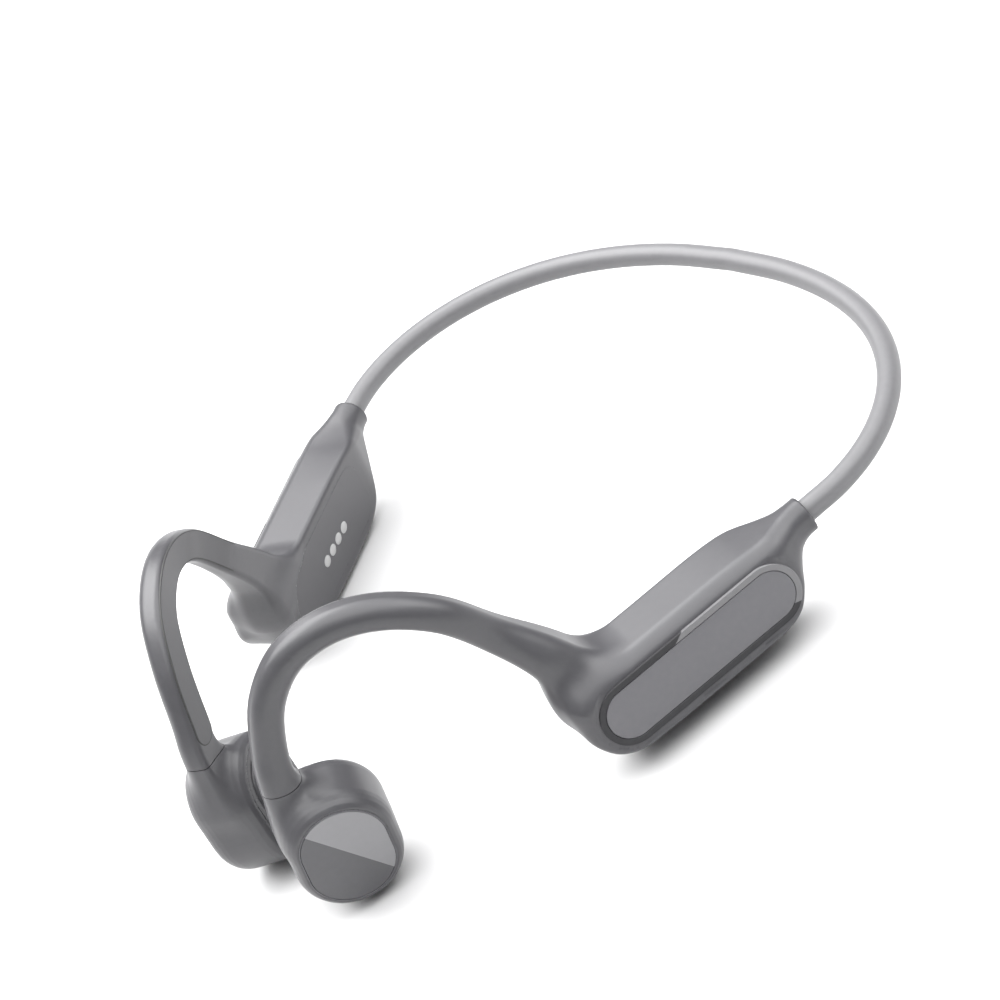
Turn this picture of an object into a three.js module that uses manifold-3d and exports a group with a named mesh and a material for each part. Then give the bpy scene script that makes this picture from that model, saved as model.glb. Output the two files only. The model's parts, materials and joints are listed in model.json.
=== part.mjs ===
// Bone conduction headphones: a neckband, two housings with ear hooks, and two transducer heads.
// Millimetres. +X is the wearer's left, -Y is the front, +Z is up, and the part stands on z = 0.
// Each side is drawn once, as the wearer's left side, and the right side is its mirror image.
import * as THREE from "three";
import { mergeVertices } from "three/addons/utils/BufferGeometryUtils.js";
import Module from "manifold-3d";

const wasm = await Module();
wasm.setup();

const deg = THREE.MathUtils.degToRad;
const vec = (x, y, z) => new THREE.Vector3(x, y, z);

// ---------------------------------------------------------------- driving dimensions

const GAP = 0.3; // clearance between neighbouring pieces
const REST_PITCH = 2.1; // degrees that the neckband's plane tips up at the back when it stands
const ORIGIN = vec(0, -63.72, -13.84); // the part's origin, in the neckband's plane frame, before the tip

// Neckband, a flat arc in its own plane, whose centre at the back is the frame's zero
const BAND_RADIUS = 1.9;
const BAND_BORE = 1.15;
const BAND_REACH = vec(46.4, 0, 0); // control points of half of the arc
const BAND_TURN = vec(61.4, -27.6, 0);
const BAND_END = vec(54.4, -46.1, 0);
const BAND_CORE = { radius: 0.45, offset: -0.55 };
const BAND_CABLE = { radius: 0.38, offset: 0.5 };

// Pod: local x points away from the head, y back along the pod, z up
const POD_CENTRE = vec(46.2, -71.75, -5.5);
const POD_TURN = { yaw: -19.65, rise: 1.95, lean: -9.85 };
const POD_HALF = 5.6; // half of the pod's thickness
const BOOT = { radius: 3, z: 4.5, end: 25.8, bore: 2.1, boreStart: 19.4 };
const PANEL = { y: -0.2, z: 0.25, half: 18.5, radius: 5.05, depth: 1.5, trim: 1.0 };
const COVER = { y0: -16.2, y1: 13.4, z0: -5.4, z1: 7, corner: 4, thick: 1.2 };
const CAVITY = { inset: 0.9, floor: 3.7 };

// Charging contacts on the right pod's inner face
const CONTACT = { radius: 1.05, pitch: 2.54, y: 0, z: 0, length: 2.2, count: 4 };

// Volume keys under the right pod
const KEY = { ys: [-9, -2.5], length: 4.6, width: 2, height: 2.2, bottom: -7.35 };

// Ear hook: its centreline, and the width and depth of its section along it
const HOOK_PATH = [
  vec(40.2, -86.2, -2),
  vec(37.2, -88, 6),
  vec(33.5, -91.1, 13.3),
  vec(30.7, -96, 22.3),
  vec(25.6, -101.6, 27.2),
  vec(20.9, -107, 28.7),
  vec(16.2, -112.8, 27.1),
  vec(12.2, -117.9, 21.5),
  vec(10.1, -121.5, 13.7),
  vec(9.8, -122.9, 9.7),
  vec(9.6, -123.6, 5),
  vec(9.8, -123.4, -0.5),
];
const SEAM = 0.9; // where the hook ends and the head's neck starts, as a share of the path
const HOOK_WIDTH = 5.3;
const HOOK_OUTER = 2.6; // from the centreline to the outer crown
const HOOK_INNER = 2.2; // from the centreline to the flat inner side
const HOOK_ROOT_WIDTH = 10.5;
const ROOT_SHARE = 0.27; // the hook tapers out of the pod over this share of its path
const TIP_SHARE = 0.78; // and widens again into the head from here
const NECK_GROWTH = 2.6;
const HOOK_SIDE = vec(-0.9, 0.42, -0.05).normalize(); // the flat side faces the wearer
const INLAY = { from: 0.23, to: 0.86, width: 3.7, thick: 0.8, play: 0.36 };
const CHANNEL = { from: 0.12, width: 2.3, floor: -1.1 };
const HOOK_CORE = { radius: 0.5, across: -0.55, up: -0.3 };
const HOOK_CABLE = { radius: 0.4, across: 0.6, up: -0.3 };

// Transducer head: local x points out through the cap, y back, z up
const HEAD_CENTRE = vec(16.02, -123.71, -5.55); // middle of the cap's face
const HEAD_TURN = { yaw: -31.4, rise: -10.25, lean: 3.96 };
const HEAD = { radius: 8.6, straight: 2.1, shoulder: 2.7, depth: 11.5, face: 7.9 };
const CAP = { radius: 6.75, straight: 1.9, thick: 1, pocket: 1.5 };
const BELL = { radius: 7, floor: 3.1 }; // the hollow that holds the motor
const PAD = { radius: 5.9, straight: 1.8, thick: 1.5, proud: 0.4, edge: 0.4 };
const SURROUND = { inner: 6.15, outer: 6.8, thick: 0.8 };
const MOTOR = { yoke: 5.5, yokeWall: 0.7, magnet: 3.2, coilInner: 3.6, coilOuter: 4.4 };

// ---------------------------------------------------------------- solids

// A closed three.js geometry as a solid for joins and cuts.
function solid(geometry) {
  const bare = geometry.clone();
  bare.deleteAttribute("normal");
  bare.deleteAttribute("uv");
  const merged = mergeVertices(bare, 1e-4);
  return new wasm.Manifold(
    new wasm.Mesh({
      numProp: 3,
      vertProperties: new Float32Array(merged.attributes.position.array),
      triVerts: new Uint32Array(merged.index.array),
    }),
  );
}

function geometryOf(made) {
  const mesh = made.getMesh();
  const geometry = new THREE.BufferGeometry();
  const points = new Float32Array(mesh.numVert * 3);
  for (let i = 0; i < mesh.numVert; i++) {
    const start = i * mesh.numProp;
    points.set(mesh.vertProperties.subarray(start, start + 3), i * 3);
  }
  geometry.setAttribute("position", new THREE.BufferAttribute(points, 3));
  geometry.setIndex(new THREE.BufferAttribute(new Uint32Array(mesh.triVerts), 1));
  return geometry;
}

function cut(body, ...tools) {
  return geometryOf(tools.reduce((made, tool) => made.subtract(solid(tool)), solid(body)));
}

function join(...bodies) {
  return geometryOf(bodies.map(solid).reduce((made, more) => made.add(more)));
}

function common(a, b) {
  return geometryOf(solid(a).intersect(solid(b)));
}

// Rings of points, each with as many as the next, skinned and closed at both ends.
function loft(rings) {
  const size = rings[0].length;
  const points = rings.flat();
  const faces = [];
  for (let r = 0; r + 1 < rings.length; r++) {
    for (let i = 0; i < size; i++) {
      const a = r * size + i;
      const b = r * size + ((i + 1) % size);
      faces.push(a, b, a + size, b, b + size, a + size);
    }
  }
  const ends = [rings[0], rings[rings.length - 1]];
  ends.forEach((ring, end) => {
    const middle = ring.reduce((sum, p) => sum.add(p), vec(0, 0, 0)).divideScalar(size);
    const centre = points.push(middle) - 1;
    const start = end === 0 ? 0 : (rings.length - 1) * size;
    for (let i = 0; i < size; i++) {
      const a = start + i;
      const b = start + ((i + 1) % size);
      if (end === 0) faces.push(b, a, centre);
      else faces.push(a, b, centre);
    }
  });
  const geometry = new THREE.BufferGeometry().setFromPoints(points);
  geometry.setIndex(faces);
  return facingOut(geometry);
}

function facingOut(geometry) {
  const p = geometry.attributes.position;
  const index = geometry.index.array;
  const [a, b, c] = [vec(0, 0, 0), vec(0, 0, 0), vec(0, 0, 0)];
  let volume = 0;
  for (let i = 0; i < index.length; i += 3) {
    a.fromBufferAttribute(p, index[i]);
    b.fromBufferAttribute(p, index[i + 1]);
    c.fromBufferAttribute(p, index[i + 2]);
    volume += a.dot(b.cross(c));
  }
  if (volume < 0) flipFaces(index);
  return geometry;
}

function flipFaces(index) {
  for (let i = 0; i < index.length; i += 3) {
    const first = index[i];
    index[i] = index[i + 1];
    index[i + 1] = first;
  }
}

function mirrored(geometry) {
  const copy = geometry.clone().applyMatrix4(new THREE.Matrix4().makeScale(-1, 1, 1));
  if (!copy.index) copy.copy(mergeVertices(copy, 1e-4));
  flipFaces(copy.index.array);
  return copy;
}

// ---------------------------------------------------------------- outlines, in local y and z

function roundedRect(y0, y1, z0, z1, r) {
  const shape = new THREE.Shape();
  shape.absarc(y1 - r, z0 + r, r, -Math.PI / 2, 0);
  shape.absarc(y1 - r, z1 - r, r, 0, Math.PI / 2);
  shape.absarc(y0 + r, z1 - r, r, Math.PI / 2, Math.PI);
  shape.absarc(y0 + r, z0 + r, r, Math.PI, Math.PI * 1.5);
  return shape;
}

const racetrack = (y, z, half, r) => roundedRect(y - half, y + half, z - r, z + r, r);
const stadium = (r, straight) => roundedRect(-r, r, -r - straight, r + straight, r - 0.001);
const circle = (y, z, r) => new THREE.Shape().absarc(y, z, r, 0, Math.PI * 2);

// An outline drawn in local y and z, extruded along local x from x0 to x1.
function plate(shape, x0, x1, segments = 5) {
  const options = { depth: x1 - x0, bevelEnabled: false, curveSegments: segments };
  const geometry = new THREE.ExtrudeGeometry(shape, options);
  const axes = new THREE.Matrix4().makeBasis(vec(0, 1, 0), vec(0, 0, 1), vec(1, 0, 0));
  return geometry.applyMatrix4(axes).translate(x0, 0, 0);
}

function ringPlate(outer, inner, x0, x1, segments = 5) {
  outer.holes.push(new THREE.Path(inner.getPoints(segments)));
  return plate(outer, x0, x1, segments);
}

const box = (x0, x1, y0, y1, z0, z1) =>
  new THREE.BoxGeometry(x1 - x0, y1 - y0, z1 - z0).translate(
    (x0 + x1) / 2,
    (y0 + y1) / 2,
    (z0 + z1) / 2,
  );

// A rod along local y.
const rodY = (r, y0, y1, x, z, sides = 12) =>
  new THREE.CylinderGeometry(r, r, y1 - y0, sides).translate(x, (y0 + y1) / 2, z);

// ---------------------------------------------------------------- frames

function placement(centre, turn) {
  const euler = new THREE.Euler(deg(turn.rise), deg(turn.lean), deg(turn.yaw), "ZXY");
  const turned = new THREE.Quaternion().setFromEuler(euler);
  return new THREE.Matrix4().compose(centre, turned, vec(1, 1, 1));
}

const podFrame = placement(POD_CENTRE, POD_TURN);
const headFrame = placement(HEAD_CENTRE, HEAD_TURN);
const inPod = (geometry) => geometry.applyMatrix4(podFrame);
const inHead = (geometry) => geometry.applyMatrix4(headFrame);

// ---------------------------------------------------------------- neckband

// One half of the arc, from the middle of the back into the pod's boot.
function bandPath() {
  const arc = new THREE.CubicBezierCurve3(vec(0, 0, 0), BAND_REACH, BAND_TURN, BAND_END);
  const inside = vec(0, BOOT.boreStart + 0.6, BOOT.z).applyMatrix4(podFrame);
  const left = [...arc.getPoints(22), inside];
  const right = left.slice(1).map((p) => vec(-p.x, p.y, p.z));
  return new THREE.CatmullRomCurve3([...right.reverse(), ...left]);
}

function roundRing(centre, across, up, radius, sides) {
  const ring = [];
  for (let i = 0; i < sides; i++) {
    const angle = (2 * Math.PI * i) / sides;
    const out = across.clone().multiplyScalar(Math.cos(angle) * radius);
    ring.push(centre.clone().add(out).addScaledVector(up, Math.sin(angle) * radius));
  }
  return ring;
}

// A round tube in the band's plane, offset outwards from the arc.
function bandTube(radius, offset, sides, spill = 0) {
  const path = bandPath();
  const steps = 40;
  const rings = [];
  for (let i = 0; i <= steps; i++) {
    const tangent = path.getTangentAt(i / steps);
    const across = tangent.clone().cross(vec(0, 0, 1)).normalize();
    const up = across.clone().cross(tangent);
    const centre = path.getPointAt(i / steps).addScaledVector(across, offset);
    if (i === 0) centre.addScaledVector(tangent, -spill);
    if (i === steps) centre.addScaledVector(tangent, spill);
    rings.push(roundRing(centre, across, up, radius, sides));
  }
  return loft(rings);
}

// ---------------------------------------------------------------- ear hook

const hookPath = new THREE.CatmullRomCurve3(HOOK_PATH, false, "centripetal");

// A station along the hook, which runs on straight past its end.
function hookFrame(u) {
  const onPath = Math.min(u, 1);
  const tangent = hookPath.getTangentAt(onPath);
  const inner = HOOK_SIDE.clone().addScaledVector(tangent, -HOOK_SIDE.dot(tangent)).normalize();
  const across = tangent.clone().cross(inner);
  const past = (u - onPath) * hookPath.getLength();
  const centre = hookPath.getPointAt(onPath).addScaledVector(tangent, past);
  return { centre, tangent, inner, across };
}

const at = (frame, across, inner) =>
  frame.centre.clone().addScaledVector(frame.across, across).addScaledVector(frame.inner, inner);

// The hook is widest where it grows out of the pod, and a little wider again at the head.
function hookWidth(u) {
  const root = Math.max(0, 1 - u / ROOT_SHARE);
  const tip = Math.max(0, (u - TIP_SHARE) / (1 - TIP_SHARE));
  return HOOK_WIDTH + (HOOK_ROOT_WIDTH - HOOK_WIDTH) * root ** 2 + NECK_GROWTH * tip ** 2;
}

function hookDepth(u, side) {
  const root = Math.max(0, 1 - u / ROOT_SHARE);
  const tip = Math.max(0, (u - TIP_SHARE) / (1 - TIP_SHARE));
  return side + 1.6 * root ** 1.6 + 0.35 * NECK_GROWTH * tip ** 2;
}

// A soft D: crowned outside, flat towards the wearer.
function hookRing(u, sides = 14) {
  const frame = hookFrame(u);
  const ring = [];
  for (let i = 0; i < sides; i++) {
    const angle = (2 * Math.PI * i) / sides;
    const c = Math.cos(angle);
    const s = Math.sin(angle);
    const across = (hookWidth(u) / 2) * Math.sign(c) * Math.abs(c) ** 0.85;
    const inner = hookDepth(u, HOOK_INNER) * Math.abs(s) ** 0.5;
    const outer = -hookDepth(u, HOOK_OUTER) * Math.abs(s) ** 0.9;
    ring.push(at(frame, across, s > 0 ? inner : outer));
  }
  return ring;
}

function sweepHook(from, to, steps, ringOf) {
  const rings = [];
  for (let i = 0; i <= steps; i++) {
    rings.push(ringOf(from + ((to - from) * i) / steps));
  }
  return loft(rings);
}

// A square-cut strip that follows the hook, between two heights above its centreline.
function hookStrip(from, to, width, low, high, steps = 15) {
  return sweepHook(from, to, steps, (u) => {
    const frame = hookFrame(u);
    const half = width / 2;
    return [
      at(frame, -half, low(u)),
      at(frame, half, low(u)),
      at(frame, half, high(u)),
      at(frame, -half, high(u)),
    ];
  });
}

function hookRod(from, to, rod, sides = 6, steps = 16) {
  return sweepHook(from, to, steps, (u) => {
    const frame = hookFrame(u);
    return roundRing(at(frame, rod.across, rod.up), frame.across, frame.inner, rod.radius, sides);
  });
}

// ---------------------------------------------------------------- pod

// Sections along the pod: [y, bottom inside, bottom outside, top inside, top outside, x inside, x outside]
const POD_SECTIONS = [
  [-21.4, 1, 1.2, 7.4, 6.4, -1.5, 3],
  [-20.7, -1.4, -0.9, 8.4, 6.9, -3.8, 4.5],
  [-19, -4.6, -3.9, 8.9, 7, -5.2, 5.3],
  [-16, -7, -5.9, 9, 7, -POD_HALF, POD_HALF],
  [-10, -8.4, -6.3, 9, 7, -POD_HALF, POD_HALF],
  [8, -8.6, -6.4, 9, 6.9, -POD_HALF, POD_HALF],
  [13, -7.8, -6.2, 8.9, 6.9, -POD_HALF, POD_HALF],
  [16.2, -6, -5.3, 8.5, 6.9, -5.4, POD_HALF],
  [18.7, -3.3, -3, 8.1, 7, -4.7, 5.2],
  [20.8, -0.5, -0.5, 7.8, 7.2, -4, 4.2],
  [22.6, 1.1, 1.1, 7.6, 7.4, -3.3, 3.4],
  [24.4, 1.5, 1.5, 7.5, 7.5, -3, 3],
  [BOOT.end, 1.5, 1.5, 7.5, 7.5, -3, 3],
];

const CORNER_STEPS = 3;

function podRing([y, bottomIn, bottomOut, topIn, topOut, xIn, xOut]) {
  const corner = Math.min(2.6, (xOut - xIn) / 2.02);
  const crisp = Math.min(1.2 + Math.max(0, y - 16) * 0.4, corner);
  const corners = [
    [xOut - crisp, bottomOut + crisp, crisp, -90],
    [xOut - corner, topOut - corner, corner, 0],
    [xIn + corner, topIn - corner, corner, 90],
    [xIn + corner, bottomIn + corner, corner, 180],
  ];
  const ring = [];
  for (const [x, z, r, start] of corners) {
    for (let i = 0; i <= CORNER_STEPS; i++) {
      const angle = deg(start + (90 / CORNER_STEPS) * i);
      ring.push(vec(x + r * Math.cos(angle), y, z + r * Math.sin(angle)));
    }
  }
  return ring;
}

const podBody = () => inPod(loft(POD_SECTIONS.map(podRing)));

const coverOutline = (inset) =>
  roundedRect(
    COVER.y0 + inset,
    COVER.y1 - inset,
    COVER.z0 + inset,
    COVER.z1 - inset,
    COVER.corner - inset,
  );

function contactHoles(extra) {
  const first = CONTACT.y - (CONTACT.pitch * (CONTACT.count - 1)) / 2;
  return Array.from({ length: CONTACT.count }, (_, i) =>
    circle(first + i * CONTACT.pitch, CONTACT.z, CONTACT.radius + extra),
  );
}

// A key is an upright racetrack post that stands out of the pod's underside.
function keyPost(y, bottom, top, grow) {
  const half = KEY.length / 2 + grow;
  const r = KEY.width / 2 + grow;
  const shape = roundedRect(-r, r, y - half, y + half, r - 0.001);
  const options = { depth: top - bottom, bevelEnabled: false, curveSegments: 4 };
  return new THREE.ExtrudeGeometry(shape, options).translate(0, 0, bottom);
}

const panelOutline = (inset) =>
  racetrack(PANEL.y, PANEL.z, PANEL.half - inset, PANEL.radius - inset);

const inlayBack = (u) => hookDepth(u, HOOK_INNER) - INLAY.thick;

function housing(side) {
  const hook = sweepHook(0, SEAM, 20, (u) => hookRing(u));
  const reach = POD_HALF + 3;
  const tools = [
    inPod(plate(coverOutline(0), -reach, -POD_HALF + COVER.thick + GAP)),
    inPod(plate(coverOutline(CAVITY.inset), -reach, CAVITY.floor)),
    inPod(plate(panelOutline(0), POD_HALF - PANEL.depth, reach)),
    inPod(rodY(BOOT.bore, BOOT.boreStart, BOOT.end + 1, 0, BOOT.z, 16)),
    inPod(rodY(BAND_BORE, COVER.y1 - 3, BOOT.boreStart + 0.5, 0, BOOT.z, 10)),
    hookStrip(CHANNEL.from, SEAM + 0.01, CHANNEL.width, () => CHANNEL.floor, inlayBack),
    hookStrip(INLAY.from, INLAY.to, INLAY.width + INLAY.play, (u) => inlayBack(u) - GAP, () => 6),
  ];
  if (side === "right") {
    for (const y of KEY.ys) tools.push(inPod(keyPost(y, -12, -3, 0.2)));
  }
  return cut(join(podBody(), hook), ...tools);
}

function podCover(side) {
  const outline = coverOutline(GAP * 0.7);
  const blank = common(podBody(), inPod(plate(outline, -9, -POD_HALF + COVER.thick)));
  if (side !== "right") return blank;
  return cut(blank, ...contactHoles(0.1).map((hole) => inPod(plate(hole, -9, 0, 5))));
}

function panelPlate() {
  const back = POD_HALF - PANEL.depth + GAP;
  return inPod(plate(panelOutline(PANEL.trim + GAP), back, POD_HALF - 0.25));
}

function panelTrim() {
  const back = POD_HALF - PANEL.depth + GAP;
  return inPod(ringPlate(panelOutline(0.15), panelOutline(PANEL.trim), back, POD_HALF - 0.05));
}

// ---------------------------------------------------------------- transducer head

function stadiumRing(x, r, straight, sides = 24) {
  const ring = [];
  for (let i = 0; i < sides; i++) {
    const angle = (2 * Math.PI * (i + 0.5)) / sides;
    const s = Math.sin(angle);
    ring.push(vec(x, r * Math.cos(angle), r * s + Math.sign(s) * straight));
  }
  return ring;
}

function headBody() {
  const { radius, straight, shoulder, depth, face } = HEAD;
  const shape = [
    [0, CAP.radius + 0.35],
    [-0.5, CAP.radius + 0.8],
    [-shoulder * 0.55, radius - 0.5],
    [-shoulder, radius],
    [-depth + 2.4, radius],
    [-depth + 0.9, radius - 0.25],
    [-depth, face],
  ];
  return inHead(loft(shape.map(([x, r]) => stadiumRing(x, r, straight))));
}

function headHousing(side) {
  const neck = sweepHook(SEAM + 0.003, 1, 5, (u) => hookRing(u));
  const tools = [
    inHead(plate(stadium(CAP.radius + 0.2, CAP.straight), -CAP.pocket, 3)),
    inHead(plate(stadium(BELL.radius, HEAD.straight), -HEAD.depth - 3, -BELL.floor)),
    hookRod(SEAM - 0.02, 1.02, { radius: 1.3, across: 0, up: -0.3 }, 10, 4),
  ];
  if (side === "left") tools.push(inHead(box(-4, 0, -1.9, 1.9, -1.9, 1.9)));
  return cut(join(headBody(), neck), ...tools);
}

const headStadium = (r, straight, x0, x1) => inHead(plate(stadium(r, straight), x0, x1));
const headDisc = (r, x0, x1) => inHead(plate(circle(0, 0, r), x0, x1, 12));
const headRing = (outer, inner, x0, x1) =>
  inHead(ringPlate(circle(0, 0, outer), circle(0, 0, inner), x0, x1, 12));

function motor() {
  const yokeBack = -BELL.floor - GAP;
  const yokeFront = yokeBack - 5.4;
  const cup = headDisc(MOTOR.yoke, yokeFront, yokeBack);
  const hollow = headDisc(MOTOR.yoke - MOTOR.yokeWall, yokeFront - 1, yokeBack - 1);
  const padBack = -HEAD.depth - PAD.proud + PAD.thick;
  const outer = stadium(BELL.radius - 0.2, HEAD.straight);
  const inner = circle(0, 0, MOTOR.coilOuter + 0.3);
  return {
    yoke: cut(cup, hollow),
    magnet: headDisc(MOTOR.magnet, yokeFront, yokeBack - 1 - 0.05 - GAP * 0.5),
    voice_coil: headRing(MOTOR.coilOuter, MOTOR.coilInner, padBack + 0.25, yokeFront + 1.4),
    spring_plate: inHead(ringPlate(outer, inner, yokeFront - 0.6, yokeFront - 0.25)),
  };
}

function skinPad() {
  const face = -HEAD.depth - PAD.proud;
  const rings = [
    stadiumRing(face, PAD.radius - PAD.edge - 0.5, PAD.straight),
    stadiumRing(face + PAD.edge * 0.5, PAD.radius - PAD.edge * 0.4, PAD.straight),
    stadiumRing(face + PAD.edge, PAD.radius, PAD.straight),
    stadiumRing(face + PAD.thick, PAD.radius, PAD.straight),
  ];
  return inHead(loft(rings));
}

function padSurround() {
  const outer = stadium(SURROUND.outer, HEAD.straight);
  const inner = stadium(SURROUND.inner, HEAD.straight);
  return inHead(ringPlate(outer, inner, -HEAD.depth + 0.05, -HEAD.depth + SURROUND.thick + 0.05));
}

// ---------------------------------------------------------------- electronics

const CELL = { x0: -3.9, x1: 2.2, y0: -13, y1: 7.6, z0: -3.6, z1: 5.2 };

const leftElectronics = () => ({
  battery_cell: inPod(box(CELL.x0, CELL.x1, CELL.y0, CELL.y1, CELL.z0, CELL.z1)),
  battery_board: inPod(box(-3.4, 1.6, 8.2, 9, -3, 2.6)),
  cap_switch: inHead(box(-2.9, -CAP.thick - 0.75, -1.6, 1.6, -1.6, 1.6)),
});

const BOARD = { x0: -1.6, x1: -0.8, y0: -14, y1: 10.4, z0: -3.4, z1: 5 };

function rightElectronics() {
  const pieces = {
    main_board: inPod(box(BOARD.x0, BOARD.x1, BOARD.y0, BOARD.y1, BOARD.z0, BOARD.z1)),
    bluetooth_module: inPod(box(BOARD.x1 + 0.15, BOARD.x1 + 1.5, -9, -2.5, -1.2, 3.8)),
    microphone: inPod(box(BOARD.x1 + 0.15, BOARD.x1 + 1.2, -13.6, -10.8, -0.6, 1.6)),
  };
  const face = -POD_HALF + 0.1;
  contactHoles(0).forEach((outline, i) => {
    pieces[`charging_contact_${i + 1}`] = inPod(plate(outline, face, face + CONTACT.length, 5));
  });
  const reach = (CONTACT.pitch * CONTACT.count) / 2 + 2.2;
  [-reach, reach].forEach((y, i) => {
    const magnet = plate(circle(CONTACT.y + y, CONTACT.z, 1.6), -POD_HALF + COVER.thick + 0.15, -2.3, 6);
    pieces[`charging_magnet_${i + 1}`] = inPod(magnet);
  });
  const names = ["volume_up_key", "volume_down_key"];
  KEY.ys.forEach((y, i) => {
    pieces[names[i]] = inPod(keyPost(y, KEY.bottom, KEY.bottom + KEY.height, 0));
  });
  return pieces;
}

// ---------------------------------------------------------------- one side

function sidePieces(side) {
  return {
    housing: housing(side),
    pod_cover: podCover(side),
    control_panel: panelPlate(),
    panel_trim: panelTrim(),
    hook_inlay: hookStrip(
      INLAY.from + 0.004,
      INLAY.to - 0.004,
      INLAY.width,
      inlayBack,
      (u) => hookDepth(u, HOOK_INNER) - 0.02,
    ),
    hook_core: hookRod(0.14, 0.93, HOOK_CORE),
    hook_cable: hookRod(0.14, 0.93, HOOK_CABLE),
    head_housing: headHousing(side),
    head_cap: headStadium(CAP.radius, CAP.straight, -CAP.thick - 0.05, -0.05),
    skin_pad: skinPad(),
    pad_surround: padSurround(),
    ...motor(),
  };
}

// ---------------------------------------------------------------- materials and assembly

const finish = (color, roughness, metalness) =>
  new THREE.MeshStandardMaterial({ color, roughness, metalness });

const GREY = finish(0x737277, 0.42, 0.1);
const PANEL_GREY = finish(0x7b7b80, 0.3, 0.15);
const TRIM_GREY = finish(0x5f5e62, 0.35, 0.2);
const SLEEVE_GREY = finish(0xc4c4c7, 0.55, 0);
const PAD_GREY = finish(0x66656a, 0.6, 0);
const METAL = finish(0xd0d0d2, 0.3, 1);
const STEEL = finish(0x9a9a9c, 0.35, 1);
const COPPER = finish(0xb87333, 0.35, 1);
const GREEN = finish(0x2f6b45, 0.6, 0);
const BLACK = finish(0x2b2b2e, 0.6, 0);
const FOIL = finish(0xb9bcc0, 0.4, 0.8);

const FINISH_OF = {
  housing: GREY,
  pod_cover: GREY,
  control_panel: PANEL_GREY,
  panel_trim: TRIM_GREY,
  hook_inlay: PAD_GREY,
  hook_core: METAL,
  hook_cable: BLACK,
  head_housing: GREY,
  head_cap: PANEL_GREY,
  skin_pad: PAD_GREY,
  pad_surround: BLACK,
  yoke: STEEL,
  magnet: METAL,
  voice_coil: COPPER,
  spring_plate: STEEL,
  battery_cell: FOIL,
  battery_board: GREEN,
  cap_switch: BLACK,
  main_board: GREEN,
  bluetooth_module: BLACK,
  microphone: METAL,
  volume_up_key: GREY,
  volume_down_key: GREY,
};

const headphones = new THREE.Group();
headphones.name = "bone_conduction_headphones";
headphones.rotation.x = deg(-REST_PITCH);
headphones.position.copy(ORIGIN).applyEuler(headphones.rotation).negate();

function addPiece(name, geometry, material) {
  const mesh = new THREE.Mesh(geometry, material);
  mesh.name = name;
  headphones.add(mesh);
}

const sleeve = cut(bandTube(BAND_RADIUS, 0, 10), bandTube(BAND_BORE, 0, 6, 1));
addPiece("neckband_sleeve", sleeve, SLEEVE_GREY);
addPiece("neckband_core", bandTube(BAND_CORE.radius, BAND_CORE.offset, 6), METAL);
addPiece("neckband_cable", bandTube(BAND_CABLE.radius, BAND_CABLE.offset, 6), BLACK);

for (const side of ["left", "right"]) {
  const place = (geometry) => (side === "right" ? mirrored(geometry) : geometry);
  for (const [name, geometry] of Object.entries(sidePieces(side))) {
    addPiece(`${side}_${name}`, place(geometry), FINISH_OF[name]);
  }
}
for (const [name, geometry] of Object.entries(leftElectronics())) {
  addPiece(name, geometry, FINISH_OF[name]);
}
for (const [name, geometry] of Object.entries(rightElectronics())) {
  const material = FINISH_OF[name] ?? METAL;
  addPiece(name, mirrored(geometry), material);
}

export default headphones;
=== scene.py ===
import json
import math

import bmesh
import bpy
import numpy as np
from mathutils import Matrix, Vector


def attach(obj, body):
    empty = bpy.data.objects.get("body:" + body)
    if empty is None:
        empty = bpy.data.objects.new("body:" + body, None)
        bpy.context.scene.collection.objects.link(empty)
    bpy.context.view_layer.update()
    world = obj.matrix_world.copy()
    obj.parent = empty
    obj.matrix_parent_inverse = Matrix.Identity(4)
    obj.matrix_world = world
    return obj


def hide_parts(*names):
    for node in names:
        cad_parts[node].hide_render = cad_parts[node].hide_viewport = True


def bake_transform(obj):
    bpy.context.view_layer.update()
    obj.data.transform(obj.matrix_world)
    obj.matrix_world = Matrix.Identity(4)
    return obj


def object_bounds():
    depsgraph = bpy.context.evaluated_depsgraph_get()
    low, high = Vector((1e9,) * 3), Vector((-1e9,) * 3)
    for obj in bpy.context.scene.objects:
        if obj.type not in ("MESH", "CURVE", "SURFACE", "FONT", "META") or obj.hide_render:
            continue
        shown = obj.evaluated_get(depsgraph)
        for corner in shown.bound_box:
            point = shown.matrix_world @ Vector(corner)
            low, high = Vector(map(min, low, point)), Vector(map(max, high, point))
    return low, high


# Bone conduction headphones. Shapes are worked out in millimetres in the wearing frame: the zero is
# the middle of the neckband at the back, x is the wearer's left, y the back, and z is square to the band.

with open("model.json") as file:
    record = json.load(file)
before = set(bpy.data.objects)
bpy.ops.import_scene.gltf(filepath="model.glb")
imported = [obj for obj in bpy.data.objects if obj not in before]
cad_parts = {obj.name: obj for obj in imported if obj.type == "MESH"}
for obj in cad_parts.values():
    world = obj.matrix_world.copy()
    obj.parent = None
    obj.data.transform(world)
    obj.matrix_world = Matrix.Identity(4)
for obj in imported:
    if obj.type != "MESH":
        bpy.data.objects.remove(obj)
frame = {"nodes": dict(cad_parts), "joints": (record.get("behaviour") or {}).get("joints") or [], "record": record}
cad_low, cad_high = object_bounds()

band_flex = next(j for j in frame["joints"] if j["name"] == "band_flex")
BACK = np.array(band_flex["pos_m"])
UP = -np.array(band_flex["axis"])
UP = UP / np.linalg.norm(UP)
AXES = np.array([[1, 0, 0], np.cross(UP, [1, 0, 0]), UP])  # rows: the wearing frame's axes
MM = 0.001


def to_row(points):
    return np.asarray(points, float) @ AXES * MM + BACK


def from_row(points):
    return (np.asarray(points, float) - BACK) @ AXES.T / MM


def unit(v):
    return np.asarray(v, float) / np.linalg.norm(v)


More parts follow.
